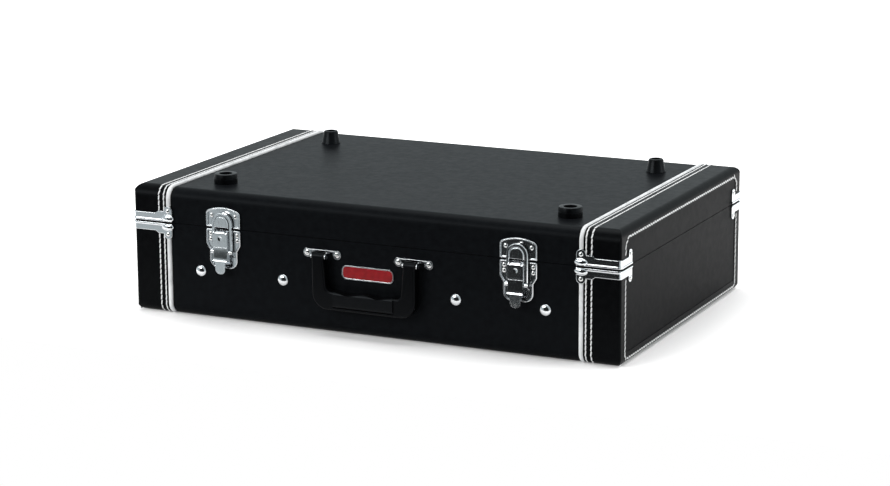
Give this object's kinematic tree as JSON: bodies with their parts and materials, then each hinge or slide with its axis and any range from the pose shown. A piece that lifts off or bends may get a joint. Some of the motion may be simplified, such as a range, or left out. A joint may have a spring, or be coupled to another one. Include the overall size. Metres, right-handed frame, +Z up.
{
  "type": "guitar pedal case",
  "caption": "Hard carrying case for guitar pedals: deep hinged shell, shallow lid holding a pedal deck, draw latches, swinging handle, rubber feet and seam corner clips.",
  "frame": {"origin": "centre of the bottom face that the closed case rests on", "axes": "+X along the case to the right, +Y from the latched front to the hinged back, +Z up through the lid"},
  "size_m": [0.7166, 0.4747, 0.1937],
  "materials": {
    "plywood": "sanded birch plywood",
    "leatherette": "pebbled black leatherette",
    "band_leatherette": "pebbled black leatherette, stitched",
    "white_piping": "white vinyl welt",
    "chrome_plate": "bright chrome plate",
    "nickel_steel": "bright nickel plate",
    "zinc_steel": "bright zinc plate",
    "handle_plastic": "moulded black plastic",
    "grip_plastic": "soft black grip",
    "foot_rubber": "moulded black rubber",
    "loop_carpet": "black loop carpet",
    "foam_lining": "plush faced foam",
    "red_enamel": "gloss enamel with a bright rim"
  },
  "bodies": {
    "base": {"badge": "red_enamel", "base_back_covering": "leatherette", "base_back_panel": "plywood", "base_bottom_covering": "leatherette", "base_bottom_panel": "plywood", "base_corner_clips": "chrome_plate", "base_end_skins": "leatherette", "base_front_covering": "leatherette", "base_front_panel": "plywood", "base_hinge_leaves": "nickel_steel", "base_left_band": "band_leatherette", "base_left_end_panel": "plywood", "base_pipings": "white_piping", "base_right_band": "band_leatherette", "base_right_end_panel": "plywood", "base_rivets": "chrome_plate", "floor_pad": "foam_lining", "front_bolt_nuts": "zinc_steel", "front_bolts": "chrome_plate", "front_rail": "plywood", "handle_brackets": "nickel_steel", "handle_pins": "nickel_steel", "handle_screws": "nickel_steel", "hinge_pins": "nickel_steel", "latch_lever_pin_left": "chrome_plate", "latch_lever_pin_right": "chrome_plate", "latch_plate_left": "chrome_plate", "latch_plate_right": "chrome_plate"},
    "lid": {"deck_board": "plywood", "deck_carpet": "loop_carpet", "foot_nuts": "zinc_steel", "foot_screws": "zinc_steel", "front_feet": "foot_rubber", "latch_keeper_left": "chrome_plate", "latch_keeper_right": "chrome_plate", "lid_back_panel": "plywood", "lid_corner_clips": "chrome_plate", "lid_covering": "leatherette", "lid_end_skins": "leatherette", "lid_front_panel": "plywood", "lid_hinge_leaves": "nickel_steel", "lid_left_band": "band_leatherette", "lid_left_end_panel": "plywood", "lid_pipings": "white_piping", "lid_right_band": "band_leatherette", "lid_right_end_panel": "plywood", "lid_rivets": "chrome_plate", "lid_top_panel": "plywood", "rear_feet": "foot_rubber"},
    "latch_lever_left": {"latch_lever_left": "chrome_plate", "latch_loop_pin_left": "chrome_plate"},
    "latch_lever_right": {"latch_lever_right": "chrome_plate", "latch_loop_pin_right": "chrome_plate"},
    "latch_loop_left": {"latch_loop_left": "chrome_plate"},
    "latch_loop_right": {"latch_loop_right": "chrome_plate"},
    "handle": {"handle_frame": "handle_plastic", "handle_grip": "grip_plastic"}
  },
  "joints": [
    {"name": "lid_hinge", "type": "hinge", "parent": "base", "child": "lid", "pos_m": [0, 0.22855, 0.1276], "axis": [-1, 0, 0], "range_deg": [0, 100]},
    {"name": "handle_swing", "type": "hinge", "parent": "base", "child": "handle", "pos_m": [0, -0.23475, 0.106], "axis": [-1, 0, 0], "range_deg": [0, 160]},
    {"name": "lever_left", "type": "hinge", "parent": "base", "child": "latch_lever_left", "pos_m": [-0.216, -0.23225, 0.122], "axis": [-1, 0, 0], "range_deg": [0, 120]},
    {"name": "loop_left", "type": "hinge", "parent": "latch_lever_left", "child": "latch_loop_left", "pos_m": [-0.216, -0.23125, 0.0965], "axis": [-1, 0, 0], "range_deg": [-140, 0]},
    {"name": "lever_right", "type": "hinge", "parent": "base", "child": "latch_lever_right", "pos_m": [0.216, -0.23225, 0.122], "axis": [-1, 0, 0], "range_deg": [0, 120]},
    {"name": "loop_right", "type": "hinge", "parent": "latch_lever_right", "child": "latch_loop_right", "pos_m": [0.216, -0.23125, 0.0965], "axis": [-1, 0, 0], "range_deg": [-140, 0]}
  ],
  "couplings": [
    {"joint": "loop_left", "follows": "lever_left", "ratio": -1.15},
    {"joint": "loop_right", "follows": "lever_right", "ratio": -1.15}
  ]
}
